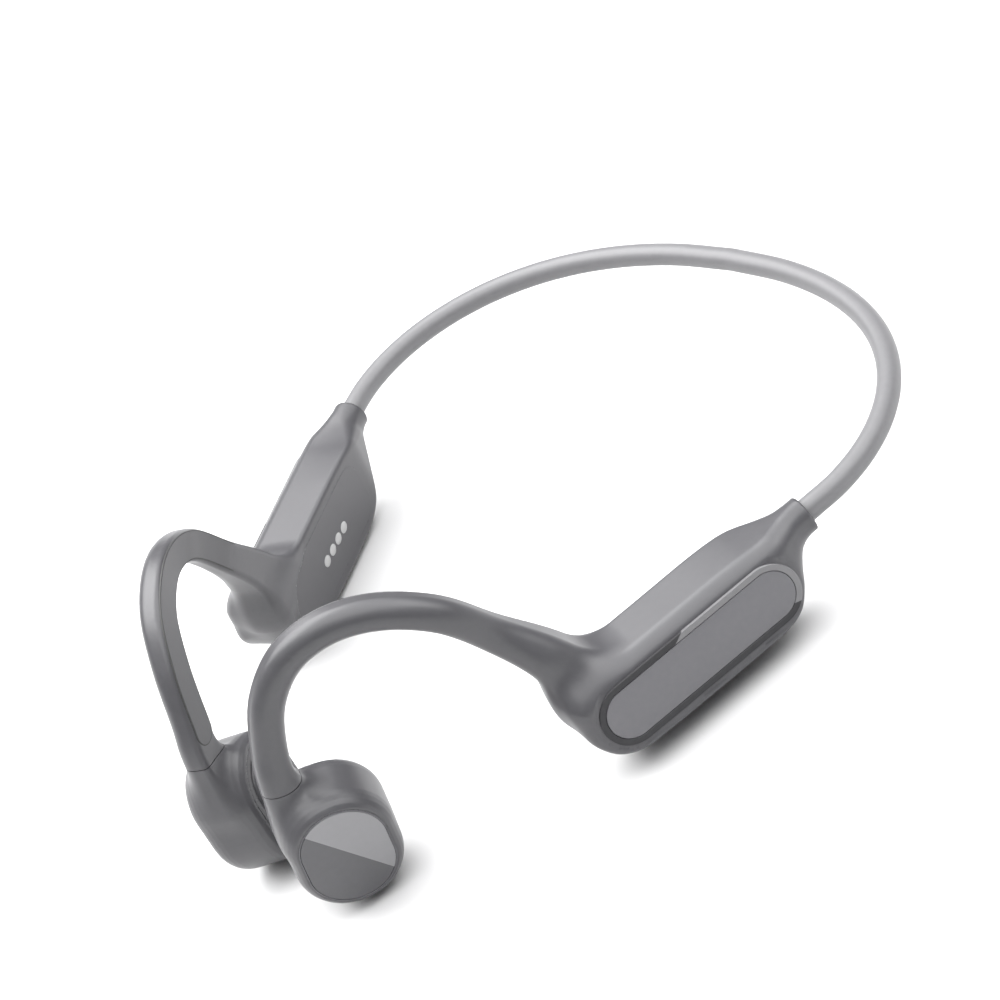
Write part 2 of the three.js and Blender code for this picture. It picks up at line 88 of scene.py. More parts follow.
class Place:
    """A turned frame: its zero, and its axes as rows."""

    def __init__(self, zero, axes):
        self.zero = np.asarray(zero, float)
        self.axes = np.asarray(axes, float)

    def local(self, points):
        return (np.asarray(points, float) - self.zero) @ self.axes.T

    def world(self, points):
        return np.asarray(points, float) @ self.axes + self.zero


def place_of(node, centre, order):
    """The frame of a symmetric plate of the CAD, whose box centre is at the given local point.
    order gives the axes x, y and z by the plate's extent, with 0 for the thinnest."""
    points = from_row([v.co for v in frame["nodes"][node].data.vertices])
    _, vectors = np.linalg.eigh(np.cov((points - points.mean(0)).T))
    axes = np.array([vectors[:, order[0]], vectors[:, order[1]], vectors[:, order[2]]])
    axes *= np.array([1 if axes[i][i] > 0 else -1 for i in range(3)])[:, None]
    local = points @ axes.T
    middle = (local.min(0) + local.max(0)) / 2
    return Place((middle - np.asarray(centre)) @ axes, axes)


# ---------------------------------------------------------------- driving dimensions, in mm

POD_HALF = 5.6
PANEL = {"y": -0.2, "z": 0.25, "half": 18.5, "radius": 5.05, "trim": 1.0, "depth": 1.5}
BOOT = {"z": 4.5, "end": 25.8, "bore": 2.02}
BAND_RADIUS = 1.9
COVER = {"y0": -16.2, "y1": 13.4, "z0": -5.4, "z1": 7.0, "corner": 4.0, "thick": 1.2}
CONTACT = {"radius": 1.05, "pitch": 2.54, "count": 4}
KEY = {"ys": (-9.0, -2.5), "half": 2.3, "width": 2.0, "bottom": -7.35, "height": 2.2}
HEAD = {"radius": 8.6, "straight": 2.1, "depth": 11.5}
CAP_SPLIT = 1.0  # where the line between the cap's painted bright reflection, above, and its painted dark reflection, below, crosses its middle, and its slope
CAP_SLOPE = 1.167
CAP = {"radius": 6.75, "straight": 1.9, "thick": 1.0}
PAD = {"radius": 5.9, "straight": 1.8, "proud": 0.4}
BELL = {"radius": 6.95, "floor": -3.0}
SEAM = 0.9
ROOT_FILLET = 4.5
NECK_FILLET = 4.0
INLAY = {"start": 0.1, "end": 0.865, "half": 2.15}  # start and end as shares of the hook

pod = place_of("left_control_panel", (4.875, PANEL["y"], PANEL["z"]), (0, 2, 1))
head = place_of("left_head_cap", (-0.55, 0, 0), (0, 1, 2))

# ---------------------------------------------------------------- curves


def catmull(points, per):
    """A smooth curve through the points, with centripetal spacing."""
    p = [np.asarray(q, float) for q in points]
    p = [2 * p[0] - p[1], *p, 2 * p[-1] - p[-2]]
    out = []
    for a, b, c, d in zip(p, p[1:], p[2:], p[3:]):
        t1 = math.sqrt(np.linalg.norm(b - a))
        t2 = t1 + math.sqrt(np.linalg.norm(c - b))
        t3 = t2 + math.sqrt(np.linalg.norm(d - c))
        for i in range(per):
            t = t1 + (t2 - t1) * i / per
            ab = a * (t1 - t) / t1 + b * t / t1
            bc = b * (t2 - t) / (t2 - t1) + c * (t - t1) / (t2 - t1)
            cd = c * (t3 - t) / (t3 - t2) + d * (t - t2) / (t3 - t2)
            abc = ab * (t2 - t) / t2 + bc * t / t2
            bcd = bc * (t3 - t) / (t3 - t1) + cd * (t - t1) / (t3 - t1)
            out.append(abc * (t2 - t) / (t2 - t1) + bcd * (t - t1) / (t2 - t1))
    out.append(p[-2])
    return np.array(out)


def evenly(points, count):
    """The curve's points again, at even steps along its length."""
    steps = np.linalg.norm(np.diff(points, axis=0), axis=1)
    along = np.concatenate([[0], np.cumsum(steps)])
    at = np.linspace(0, along[-1], count)
    return np.stack([np.interp(at, along, points[:, i]) for i in range(points.shape[1])], 1)


def smoothstep(a, b, x):
    t = np.clip((x - a) / (b - a), 0, 1)
    return t * t * (3 - 2 * t)


# ---------------------------------------------------------------- distance fields


def rounded(a, b, radius):
    """Where both a and b are inside, with the edge between them rounded."""
    inner = np.minimum(np.maximum(a, b), -radius)
    return inner + np.hypot(np.maximum(a + radius, 0), np.maximum(b + radius, 0))


def blended(a, b, reach):
    """Either a or b, with a fillet between them."""
    h = np.clip(0.5 + 0.5 * (b - a) / reach, 0, 1)
    return b + (a - b) * h - reach * h * (1 - h)


def carved(body, tool, edge=0.2):
    return rounded(body, -tool, edge)


class Outline:
    """Signed distance to a closed plane outline, kept on a grid and read between its points."""

    STEP = 0.2

    def __init__(self, points, margin=3.0):
        p = np.asarray(points, float)
        self.low = p.min(0) - margin
        size = ((p.max(0) + margin - self.low) / self.STEP).astype(int) + 2
        u = self.low[0] + self.STEP * np.arange(size[0])
        v = self.low[1] + self.STEP * np.arange(size[1])
        grid = np.stack(np.meshgrid(u, v, indexing="ij"), -1).reshape(-1, 2)
        best = np.full(len(grid), 1e9)
        inside = np.zeros(len(grid), bool)
        for a, b in zip(p, np.roll(p, -1, 0)):
            d = b - a
            length = d @ d
            if length < 1e-12:
                continue
            t = np.clip(((grid - a) @ d) / length, 0, 1)
            best = np.minimum(best, ((grid - a - t[:, None] * d) ** 2).sum(1))
            crosses = (a[1] > grid[:, 1]) != (b[1] > grid[:, 1])
            if d[1]:
                inside ^= crosses & (grid[:, 0] < a[0] + d[0] * (grid[:, 1] - a[1]) / d[1])
        self.values = (np.sqrt(best) * np.where(inside, -1, 1)).reshape(size)
        self.size = size

    def __call__(self, u, v):
        s = (u - self.low[0]) / self.STEP
        t = (v - self.low[1]) / self.STEP
        sc = np.clip(s, 0, self.size[0] - 1.001)
        tc = np.clip(t, 0, self.size[1] - 1.001)
        i, j = sc.astype(int), tc.astype(int)
        a, b = sc - i, tc - j
        f = self.values
        near = (f[i, j] * (1 - a) + f[i + 1, j] * a) * (1 - b)
        near = near + (f[i, j + 1] * (1 - a) + f[i + 1, j + 1] * a) * b
        return near + self.STEP * np.hypot(s - sc, t - tc)


def stadium_field(y, z, radius, straight_y=0.0, straight_z=0.0):
    across = np.maximum(np.abs(y) - straight_y, 0)
    up = np.maximum(np.abs(z) - straight_z, 0)
    return np.hypot(across, up) - radius


def box_field(y, z, y0, y1, z0, z1, corner):
    a = np.abs(y - (y0 + y1) / 2) - (y1 - y0) / 2 + corner
    b = np.abs(z - (z0 + z1) / 2) - (z1 - z0) / 2 + corner
    return np.hypot(np.maximum(a, 0), np.maximum(b, 0)) + np.minimum(np.maximum(a, b), 0) - corner


# ---------------------------------------------------------------- meshing a field


def read(field, points):
    return np.concatenate([field(points[i : i + 40000]) for i in range(0, len(points), 40000)])


def surface(field, low, high, step):
    """A quad mesh on the zero of a field, with one vertex in each cell that the zero crosses."""
    block = 4
    low = np.asarray(low, float)
    blocks = np.ceil((np.asarray(high) - low) / (step * block)).astype(int)
    size = blocks * block
    index = np.stack(np.meshgrid(*[np.arange(n) for n in blocks], indexing="ij"), -1)
    middles = low + (index.reshape(-1, 3) + 0.5) * block * step
    coarse = read(field, middles).reshape(blocks)
    values = np.where(coarse < 0, -9.0, 9.0)
    for axis in range(3):
        values = np.repeat(values, block, axis)
    near = np.argwhere(np.abs(coarse) < block * step * 1.5)
    corner = np.stack(np.meshgrid(*[np.arange(block)] * 3, indexing="ij"), -1).reshape(-1, 3)
    cells = (near[:, None, :] * block + corner[None]).reshape(-1, 3)
    values[tuple(cells.T)] = read(field, low + cells * step)

    inside = values < 0
    ids, spots, quads = [], [], []
    span = size - 1
    for axis in range(3):
        one, two = (axis + 1) % 3, (axis + 2) % 3
        head_cut = [slice(None)] * 3
        tail_cut = [slice(None)] * 3
        head_cut[axis], tail_cut[axis] = slice(None, -1), slice(1, None)
        a, b = inside[tuple(head_cut)], inside[tuple(tail_cut)]
        edges = np.argwhere(a != b)
        keep = (edges[:, one] > 0) & (edges[:, two] > 0)
        keep &= (edges[:, one] < span[one]) & (edges[:, two] < span[two])
        edges = edges[keep]
        far = edges.copy()
        far[:, axis] += 1
        fa, fb = values[tuple(edges.T)], values[tuple(far.T)]
        spot = edges.astype(float)
        spot[:, axis] += fa / (fa - fb)
        around = []
        for du, dv in ((-1, -1), (0, -1), (0, 0), (-1, 0)):
            cell = edges.copy()
            cell[:, one] += du
            cell[:, two] += dv
            around.append(np.ravel_multi_index(tuple(cell.T), tuple(size)))
            ids.append(around[-1])
            spots.append(spot)
        quad = np.stack(around, 1)
        flip = fa > 0
        quad[flip] = quad[flip][:, ::-1]
        quads.append(quad)
    ids, spots, quads = np.concatenate(ids), np.concatenate(spots), np.concatenate(quads)
    used, inverse = np.unique(ids, return_inverse=True)
    count = np.bincount(inverse)
    points = np.stack([np.bincount(inverse, spots[:, i]) / count for i in range(3)], 1)
    points = low + points * step
    lookup = np.searchsorted(used, quads)
    return settle(points, lookup, field)


def slope(field, points, reach=0.03):
    out = np.empty_like(points)
    for i in range(3):
        shift = np.zeros(3)
        shift[i] = reach
        out[:, i] = (read(field, points + shift) - read(field, points - shift)) / (2 * reach)
    return out


def pull(points, field, rounds=2):
    """Moves points onto the field's zero."""
    for _ in range(rounds):
        g = slope(field, points)
        f = read(field, points)
        step = f[:, None] * g / np.maximum((g * g).sum(1), 0.05)[:, None]
        points = points - np.clip(step, -0.4, 0.4)
    return points


def settle(points, quads, field, rounds=3):
    """Evens out the mesh along the surface and keeps it on the field's zero."""
    edges = np.concatenate([quads[:, [i, (i + 1) % 4]] for i in range(4)])
    edges = np.unique(np.sort(edges, 1), axis=0)
    count = np.bincount(edges.ravel(), minlength=len(points))[:, None]
    for _ in range(rounds):
        total = np.zeros_like(points)
        for i in range(3):
            total[:, i] = np.bincount(edges[:, 0], points[edges[:, 1], i], len(points))
            total[:, i] += np.bincount(edges[:, 1], points[edges[:, 0], i], len(points))
        points = points + 0.5 * (total / np.maximum(count, 1) - points)
        points = pull(points, field, 1)
    return pull(points, field, 2), quads


# ---------------------------------------------------------------- the pod's field

INNER_BOTTOM = [(25.8, 1.5), (24.4, 1.5), (22.6, 1.0), (20.8, -0.7), (18.7, -3.4), (16.2, -6.1)]
INNER_BOTTOM += [(13, -7.8), (8, -8.55), (0, -8.7), (-10, -8.4), (-15.4, -6.9), (-18.2, -4.5)]
INNER_NOSE = [(-20, -1.2), (-20.9, 1.6), (-21.2, 4.5), (-20.6, 7.3), (-19, 8.7), (-16, 9)]
INNER_TOP = [(-10, 9), (0, 9), (8, 9), (13, 8.7), (16.2, 8.2), (18.7, 7.85), (20.8, 7.6)]
OUTER_BOTTOM = [(25.8, 1.5), (24.4, 1.5), (22.6, 1.1), (20.8, -0.5), (18.7, -3), (16.2, -5.2)]
OUTER_BOTTOM += [(13, -6.2), (8, -6.4), (0, -6.4), (-10, -6.35), (-15.6, -6), (-18.8, -4.4)]
OUTER_NOSE = [(-20.9, -1.5), (-21.8, 1.4), (-22, 4), (-21.3, 6), (-19.5, 6.9), (-16, 7)]
OUTER_TOP = [(-10, 7), (0, 7), (8, 6.95), (13, 6.9), (16.2, 6.85), (18.7, 6.95), (20.8, 7.15)]
BOOT_TOP = [(22.6, 7.45), (24.4, 7.5), (25.8, 7.5)]
PLAN_OUT = [(25.8, 3), (24.4, 3), (22.6, 3.4), (20.8, 4.2), (18.7, 5.2), (16.2, 5.6), (8, 5.6)]
PLAN_OUT += [(0, 5.6), (-10, 5.6), (-17, 5.6), (-20, 5.2), (-21.9, 4.2), (-22.8, 2.4)]
PLAN_IN = [(-23, 0.6), (-22.8, -1.4), (-21.6, -3.6), (-19.6, -5.1), (-16.5, -5.6), (-10, -5.6)]
PLAN_IN += [(0, -5.6), (8, -5.6), (13, -5.6), (16.2, -5.4), (18.7, -4.7), (20.8, -4)]
PLAN_IN += [(22.6, -3.3), (24.4, -3), (25.8, -3)]
PAST_BOOT = 3.0  # the outlines run on past the boot's end, which is cut square


def run_on(points):
    curve = catmull(points, 8)
    first, last = curve[0] + (PAST_BOOT, 0), curve[-1] + (PAST_BOOT, 0)
    return Outline(np.vstack([[first], curve, [last]]))


inner_side = run_on(INNER_BOTTOM + INNER_NOSE + INNER_TOP + BOOT_TOP)
outer_side = run_on(OUTER_BOTTOM + OUTER_NOSE + OUTER_TOP + BOOT_TOP)
plan = run_on(PLAN_OUT + PLAN_IN)


def pod_edge(x, y, z):
    """The radius of the pod's long edges: crisp at the inner top and outer bottom."""
    outer = smoothstep(-2, 2, x)
    top = smoothstep(-2, 3, z)
    bottom_edge = 2.2 + (1.25 - 2.2) * outer
    top_edge = 1.1 + (3.2 - 1.1) * outer
    radius = bottom_edge + (top_edge - bottom_edge) * top
    return radius + (2.9 - radius) * smoothstep(14, 22.6, y)


def pod_field(points):
    x, y, z = pod.local(points).T
    share = np.clip((x + POD_HALF) / (2 * POD_HALF), 0, 1)
    side = (1 - share) * inner_side(y, z) + share * outer_side(y, z)
    return rounded(rounded(side, plan(y, x), pod_edge(x, y, z)), y - BOOT["end"], 0.35)


# ---------------------------------------------------------------- the hook's field

HOOK_POINTS = [
    (40.2, -86.2, -2),
    (37.2, -88, 6),
    (33.5, -91.1, 13.3),
    (30.7, -96, 22.3),
    (25.6, -101.6, 27.2),
    (20.9, -107, 28.7),
    (16.2, -112.8, 27.1),
    (12.2, -117.9, 21.5),
    (10.1, -121.5, 13.7),
    (9.8, -122.9, 9.7),
    (9.6, -123.6, 5),
    (9.8, -123.4, -0.5),
]
HOOK_SIDE = unit((-0.9, 0.42, -0.05))  # the flat side faces the wearer
HOOK_COUNT = 260
HOOK_WIDTH = 5.3
HOOK_OUTER = 2.6  # from the centreline to the outer crown
HOOK_INNER = 2.2  # from the centreline to the flat side
ROOT_SHARE = 0.27  # the hook tapers out of the pod over this share of its path
ROOT_GROWTH = 5.2
TIP_SHARE = 0.78  # and widens again into the head from here
NECK_GROWTH = 2.6

hook_line = evenly(catmull(HOOK_POINTS, 40), HOOK_COUNT)
hook_step = np.linalg.norm(np.diff(hook_line, axis=0), axis=1).mean()
hook_length = hook_step * (HOOK_COUNT - 1)
hook_tangent = np.gradient(hook_line, axis=0)
hook_tangent /= np.linalg.norm(hook_tangent, axis=1)[:, None]
hook_inner = HOOK_SIDE - (hook_tangent @ HOOK_SIDE)[:, None] * hook_tangent
hook_inner /= np.linalg.norm(hook_inner, axis=1)[:, None]
hook_across = np.cross(hook_tangent, hook_inner)


def hook_widths(u):
    """Half width, outer depth and inner depth of the hook's section."""
    root = np.clip(1 - u / ROOT_SHARE, 0, 1)
    tip = np.clip((u - TIP_SHARE) / (1 - TIP_SHARE), 0, 1)
    half = (HOOK_WIDTH + ROOT_GROWTH * root**2 + NECK_GROWTH * tip**2) / 2
    more = 1.6 * root**1.6 + 0.91 * tip**2
    flush = 1.8 * (1 - smoothstep(0.04, ROOT_SHARE, u))  # the flat side runs into the pod's inner face
    sunk = 1.2 * (1 - smoothstep(0.0, 0.12, u))  # the outer side starts below the pod's outer face
    return half, HOOK_OUTER + more - sunk, HOOK_INNER + more + flush


def on_hook(points):
    """Each point's distance along the hook, across it, and towards its flat inner side."""
    offsets = points[:, None, :].astype(np.float32) - hook_line[None, ::2].astype(np.float32)
    near = (offsets**2).sum(-1).argmin(1) * 2
    ahead = ((points - hook_line[near]) * hook_tangent[near]).sum(1)
    along = near + np.clip(ahead / hook_step, -2, 2)
    along = np.clip(along, 0, HOOK_COUNT - 1.001)
    i = along.astype(int)
    t = (along - i)[:, None]
    centre = hook_line[i] * (1 - t) + hook_line[i + 1] * t
    tangent = hook_tangent[i] * (1 - t) + hook_tangent[i + 1] * t
    off = points - centre
    past = (off * tangent).sum(1)
    across = (off * (hook_across[i] * (1 - t) + hook_across[i + 1] * t)).sum(1)
    inner = (off * (hook_inner[i] * (1 - t) + hook_inner[i + 1] * t)).sum(1)
    return along * hook_step + past, across, inner


def hook_field(along, across, inner):
    half, outer_depth, inner_depth = hook_widths(along / hook_length)
    stretch = np.maximum(np.hypot(across / half, inner / outer_depth), 0.05)
    crown = np.hypot(across, inner) * (1 - 1 / stretch)
    flat = rounded(np.abs(across) - half, inner - inner_depth, 1.0)
    return np.where(inner > 0, flat, crown)


SEAM_GAP = 0.07

# ---------------------------------------------------------------- housings

KEY_PLAY = 0.12
BORE_START = 20  # the neckband is let into the boot from here, along the pod
COVER_LAP = 0.3  # the cover's edge hides this much of the housing round its opening
LAND_MARGIN = 0.3  # the flat land round the panel is this much wider than its trim
CAP_FACE_REACH = 16.0  # the head's cap face is cut flat this far round its middle


def key_field(points):
    x, y, z = pod.local(points).T
    radius = KEY["width"] / 2
    keys = [stadium_field(y - at, x, radius + KEY_PLAY, KEY["half"] - radius) for at in KEY["ys"]]
    return np.maximum(np.minimum(*keys), z + 4)


def outer_field(points):
    """The whole side's outer skin: pod, hook and head run into one another."""
    along, across, inner = on_hook(points)
    hook = hook_field(along, across, inner)
    hook = rounded(rounded(hook, -along, 2.5), along - hook_length - 1, 2.0)
    x, y, z = head.local(points).T
    head_body = head_profile(x, np.hypot(y, np.maximum(np.abs(z) - HEAD["straight"], 0)))
    side = blended(pod_field(points), hook, ROOT_FILLET)
    side = blended(side, head_body, NECK_FILLET)
    px, py, pz = pod.local(points).T
    straight = PANEL["half"] - PANEL["radius"]
    land = stadium_field(py - PANEL["y"], pz - PANEL["z"], PANEL["radius"] + LAND_MARGIN, straight)
    side = carved(side, np.maximum(land, POD_HALF + 0.1 - px), 0.8)
    return rounded(side, np.where(np.hypot(y, z) < CAP_FACE_REACH, x, -9.0), 0.15)


def housing_field(points, keys=False):
    body = outer_field(points)
    x, y, z = pod.local(points).T
    y0, y1, z0, z1 = COVER["y0"], COVER["y1"], COVER["z0"], COVER["z1"]
    lap = COVER_LAP
    cover = box_field(y, z, y0 + lap, y1 - lap, z0 + lap, z1 - lap, COVER["corner"] - lap)
    body = carved(body, np.maximum(cover, x + POD_HALF - COVER["thick"] - 0.2))
    hollow = box_field(y, z, y0 + 1, y1 - 1, z0 + 1, z1 - 1, COVER["corner"] - 1)
    body = carved(body, np.maximum(hollow, x - 3.7))
    straight = PANEL["half"] - PANEL["radius"]
    panel = stadium_field(y - PANEL["y"], z - PANEL["z"], PANEL["radius"] - 0.45, straight)
    body = carved(body, np.maximum(panel, POD_HALF - PANEL["depth"] - x))
    bore = np.maximum(np.hypot(x, z - BOOT["z"]) - BOOT["bore"], BORE_START - y)
    body = carved(body, bore, 0.25)
    if keys:
        body = carved(body, key_field(points), 0.15)
    return body


HEAD_PROFILE = [
    (0.0, -3.0),
    (0.0, 0.0),
    (0.0, 5.0),
    (0.0, 7.0),
    (-0.12, 7.25),
    (-0.55, 7.75),
    (-1.25, 8.2),
    (-2.1, 8.48),
    (-3.0, HEAD["radius"]),
    (-6.0, HEAD["radius"]),
    (-8.9, HEAD["radius"]),
    (-9.9, 8.5),
    (-10.8, 8.15),
    (-11.35, 7.6),
    (-HEAD["depth"], 7.0),
    (-HEAD["depth"], 5.0),
    (-HEAD["depth"], -3.0),
]
head_profile = Outline(np.array(HEAD_PROFILE))


def head_field(points):
    body = outer_field(points)
    x, y, z = head.local(points).T
    cap = stadium_field(y, z, CAP["radius"] + 0.17, 0, CAP["straight"])
    body = carved(body, np.maximum(cap, -1.5 - x))
    bell = stadium_field(y, z, BELL["radius"], 0, HEAD["straight"])
    return carved(body, np.maximum(bell, x - BELL["floor"]), 0.25)


# ---------------------------------------------------------------- pieces

STEP = 0.4


def faces_out(points, faces):
    a, b, c = (points[[f[i] for f in faces]] for i in range(3))
    return (a * np.cross(b, c)).sum() > 0


def make(
    name, points, faces, body, slot, replaces=(), normals=None, smooth=35, materials=None, indices=None
):
    """A named mesh piece in the row frame, riding its body."""
    mesh = bpy.data.meshes.new(name)
    mesh.from_pydata([tuple(p) for p in to_row(points)], [], [tuple(map(int, f)) for f in faces])
    obj = bpy.data.objects.new(name, mesh)
    bpy.context.scene.collection.objects.link(obj)
    for m in materials or [finishes[slot]]:
        mesh.materials.append(m)
    if indices is not None:
        mesh.polygons.foreach_set("material_index", np.asarray(indices, np.int32))
    mesh.polygons.foreach_set("use_smooth", np.ones(len(mesh.polygons), bool))
    if normals is not None:
        mesh.normals_split_custom_set_from_vertices([tuple(n) for n in np.asarray(normals) @ AXES])
    else:
        mesh.set_sharp_from_angle(angle=math.radians(smooth))
    if body:
        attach(obj, body)
    if replaces:
        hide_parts(*replaces)
    return obj


FLIP = np.array([-1.0, 1.0, 1.0])


def on_side(side, points, faces, normals=None):
    """The left side's mesh as it is, or mirrored for the right side."""
    if side == "left":
        return points, faces, normals
    faces = [tuple(reversed(list(f))) for f in faces]
    return points * FLIP, faces, None if normals is None else normals * FLIP


def trimmed(points, quads, plane_point, plane_normal, region):
    """Cuts the mesh square where the region crosses a plane, and closes the cut with a flat face."""
    mesh = bpy.data.meshes.new("cut")
    mesh.from_pydata([tuple(p) for p in points], [], [tuple(map(int, q)) for q in quads])
    bm = bmesh.new()
    bm.from_mesh(mesh)
    centre, normal = Vector(plane_point), Vector(plane_normal)
    middle = Vector(head.zero)
    near = [f for f in bm.faces if (f.calc_center_median() - middle).length < region]
    geom = near + list({e for f in near for e in f.edges}) + list({v for f in near for v in f.verts})
    cut = bmesh.ops.bisect_plane(bm, geom=geom, plane_co=centre, plane_no=normal, clear_outer=True)
    ring = [e for e in cut["geom_cut"] if isinstance(e, bmesh.types.BMEdge)]
    made = bmesh.ops.edgeloop_fill(bm, edges=ring)["faces"]
    bm.verts.index_update()
    new_points = np.array([v.co for v in bm.verts])
    flat = set(made)
    caps = [tuple(v.index for v in f.verts) for f in flat]
    faces = [tuple(v.index for v in f.verts) for f in bm.faces if f not in flat]
    bm.free()
    bpy.data.meshes.remove(mesh)
    return new_points, faces, caps


# ---------------------------------------------------------------- finishes

GRAIN_SCALE = 900  # waves of the noise per metre
CLOUD_SCALE = 40


def finish(name, low, high, roughness, metallic=0.0, spread=0.04, bump=0.02, specular=0.5):
    """A moulded or plated finish: a fine grain in colour, roughness and height."""
    m = bpy.data.materials.new(name)
    m.use_nodes = True
    nodes, links = m.node_tree.nodes, m.node_tree.links
    shader = nodes["Principled BSDF"]
    where = nodes.new("ShaderNodeTexCoord")
    noise = nodes.new("ShaderNodeTexNoise")
    noise.inputs["Scale"].default_value = GRAIN_SCALE
    noise.inputs["Detail"].default_value = 4
    cloud = nodes.new("ShaderNodeTexNoise")
    cloud.inputs["Scale"].default_value = CLOUD_SCALE
    cloud.inputs["Detail"].default_value = 2
    links.new(where.outputs["Object"], noise.inputs["Vector"])
    links.new(where.outputs["Object"], cloud.inputs["Vector"])
    mix = nodes.new("ShaderNodeMix")
    mix.data_type = "FLOAT"
    mix.inputs[0].default_value = 0.35
    links.new(noise.outputs["Fac"], mix.inputs[2])
    links.new(cloud.outputs["Fac"], mix.inputs[3])
    ramp = nodes.new("ShaderNodeValToRGB")
    ramp.color_ramp.elements[0].position = 0.3
    ramp.color_ramp.elements[0].color = (*low, 1)
    ramp.color_ramp.elements[1].position = 0.7
    ramp.color_ramp.elements[1].color = (*high, 1)
    links.new(mix.outputs[0], ramp.inputs["Fac"])
    links.new(ramp.outputs["Color"], shader.inputs["Base Color"])
    rough = nodes.new("ShaderNodeMapRange")
    rough.inputs["To Min"].default_value = roughness - spread
    rough.inputs["To Max"].default_value = roughness + spread
    links.new(mix.outputs[0], rough.inputs["Value"])
    links.new(rough.outputs["Result"], shader.inputs["Roughness"])
    shader.inputs["Metallic"].default_value = metallic
    shader.inputs["Specular IOR Level"].default_value = specular
    bumps = nodes.new("ShaderNodeBump")
    bumps.inputs["Strength"].default_value = bump
    bumps.inputs["Distance"].default_value = 0.0001
    links.new(noise.outputs["Fac"], bumps.inputs["Height"])
    links.new(bumps.outputs["Normal"], shader.inputs["Normal"])
    return m


def grey(value, tint=0.0):
    return (value, value * (1 - tint * 0.15), value * (1 + tint))


finishes = {
    "housing": finish("housing", grey(0.066, 0.065), grey(0.072, 0.065), 0.35),
    "panel": finish("panel", grey(0.115, 0.065), grey(0.125, 0.065), 0.26, spread=0.02),
    "trim": finish("trim", grey(0.03, 0.065), grey(0.035, 0.065), 0.4, spread=0.02, specular=0.25),
    "inlay": finish("inlay", grey(0.056, 0.065), grey(0.062, 0.065), 0.38, bump=0.03),
    "sleeve": finish("sleeve", grey(0.15, 0.03), grey(0.165, 0.03), 0.42, bump=0.03),
    "pad": finish("pad", grey(0.055, 0.065), grey(0.062, 0.065), 0.45, bump=0.05),
    "surround": finish("surround", grey(0.055, 0.065), grey(0.062, 0.065), 0.45, bump=0.04),
    "spring_wire": finish("spring_wire", grey(0.6), grey(0.68), 0.25, 1.0),
    "cable": finish("cable", grey(0.03), grey(0.045), 0.5),
    "steel": finish("steel", grey(0.5), grey(0.58), 0.3, 1.0, spread=0.06),
    "plated_magnet": finish("plated_magnet", grey(0.62), grey(0.7), 0.2, 1.0),
    "copper": finish("copper", (0.75, 0.36, 0.2), (0.85, 0.44, 0.27), 0.3, 1.0, spread=0.06),
    "contact_metal": finish("contact_metal", grey(0.4), grey(0.44), 0.42, 0.3, spread=0.03),
    "battery_foil": finish("battery_foil", grey(0.5), grey(0.6), 0.35, 0.8, spread=0.08),
    "circuit_board": finish("circuit_board", (0.015, 0.12, 0.05), (0.025, 0.16, 0.07), 0.4, spread=0.08),
    "dark_plastic": finish("dark_plastic", grey(0.02), grey(0.03), 0.45, bump=0.05),
}
# The trim's lighter finish for its rear arc is a painted reflection.
painted_trim_reflection = finish("painted_trim_reflection", grey(0.15, 0.03), grey(0.158, 0.03), 0.24, spread=0.02)
# The cap's two finishes paint a reflection on it: the lighter one is a painted bright reflection above its slanted
# line, and the darker one is a painted dark reflection below it.
cap_painted_reflection = finish("cap_painted_reflection", grey(0.225, 0.03), grey(0.235, 0.03), 0.24, spread=0.02)
cap_painted_dark_reflection = finish("cap_painted_dark_reflection", grey(0.078, 0.065), grey(0.084, 0.065), 0.24, spread=0.02)
# A dark finish for the band round each hook inlay: a painted shadow of the gap between inlay and hook, together
# with the dark joint line.
gap_painted_shadow = finish("gap_painted_shadow", grey(0.03), grey(0.04), 0.6)

slot_of = {part["node"]: part["material_slot"] for part in frame["record"]["subparts"]}
for name, node in frame["nodes"].items():
    node.data.materials.clear()
    node.data.materials.append(finishes[slot_of[name]])

# ---------------------------------------------------------------- housings and heads

seam_index = int(round(SEAM * (HOOK_COUNT - 1)))
seam_normal = hook_tangent[seam_index]
SEAM_REGION = 24.0  # the cut stays this near the head, clear of the pod
LOW, HIGH = np.array([4.0, -129.0, -17.0]), np.array([60.0, -44.0, 33.0])
HEAD_LOW, HEAD_HIGH = np.array([-4.0, -136.0, -19.0]), np.array([28.0, -108.0, 20.0])


def field_piece(field, low, high, outward, step):
    """Meshes a field and cuts it flat at the neck seam. outward is square to the cut, off the piece."""
    points, quads = surface(field, low, high, step)
    centre = hook_line[seam_index]
    points, faces, caps = trimmed(points, quads, centre - unit(outward) * SEAM_GAP, outward, SEAM_REGION)
    normals = slope(field, points)
    normals /= np.maximum(np.linalg.norm(normals, axis=1), 1e-9)[:, None]
    for cap in caps:
        count = len(points)
        loop = list(range(count, count + len(cap)))
        points = np.vstack([points, points[list(cap)]])
        normals = np.vstack([normals, np.repeat([unit(outward)], len(cap), 0)])
        pairs = zip(loop, loop[1:] + loop[:1])
        turns = sum(np.cross(points[p] - centre, points[q] - centre) @ outward for p, q in pairs)
        faces = faces + [tuple(loop if turns > 0 else reversed(loop))]
    return points, faces, normals


left_shell = field_piece(housing_field, LOW, HIGH, seam_normal, STEP)
right_shell = field_piece(lambda p: housing_field(p, True), LOW, HIGH, seam_normal, STEP)
head_shell = field_piece(head_field, HEAD_LOW, HEAD_HIGH, -seam_normal, STEP * 0.65)
for side, shell in (("left", left_shell), ("right", right_shell)):
    body = f"{side}_side"
    points, faces, normals = on_side(side, *shell)
    make(f"{side}_housing_shell", points, faces, body, "housing", [f"{side}_housing"], normals)
    points, faces, normals = on_side(side, *head_shell)
    make(f"{side}_head_shell", points, faces, body, "housing", [f"{side}_head_housing"], normals)

# ---------------------------------------------------------------- plates, rings and posts


